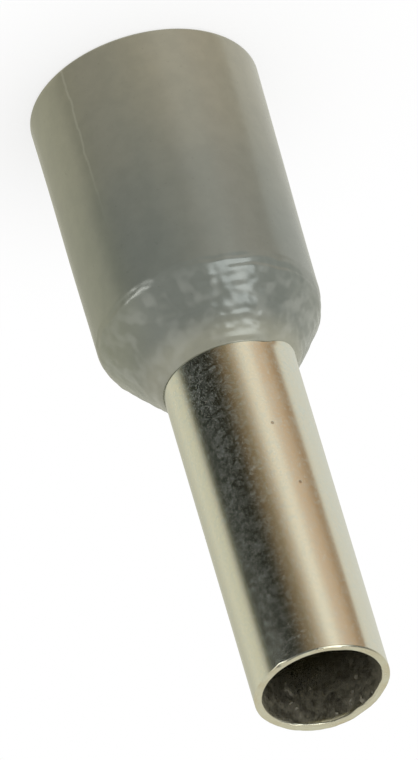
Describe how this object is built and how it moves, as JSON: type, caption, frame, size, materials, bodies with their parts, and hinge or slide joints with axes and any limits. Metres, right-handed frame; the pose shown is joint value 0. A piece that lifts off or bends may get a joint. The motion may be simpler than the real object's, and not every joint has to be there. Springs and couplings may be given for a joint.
{
  "type": "wire ferrule",
  "caption": "Thin metal tube with a moulded plastic collar whose funnel leads the strands of a stripped wire into the tube, ready to be crimped.",
  "frame": {"origin": "centre of the collar's open mouth, in the plane of its rim", "axes": "+Z along the ferrule's axis, from the collar's mouth to the tube's tip; X and Y are alike, as the part is round"},
  "size_m": [0.0054, 0.0054, 0.0171],
  "materials": {
    "tinned_copper": "bright tin plating over drawn copper, with fine mottling and a warm cast",
    "grey_plastic": "moulded, semi-gloss and faintly translucent where it is thin"
  },
  "bodies": {
    "root": {"metal_tube": "tinned_copper", "plastic_collar": "grey_plastic"}
  },
  "joints": []
}
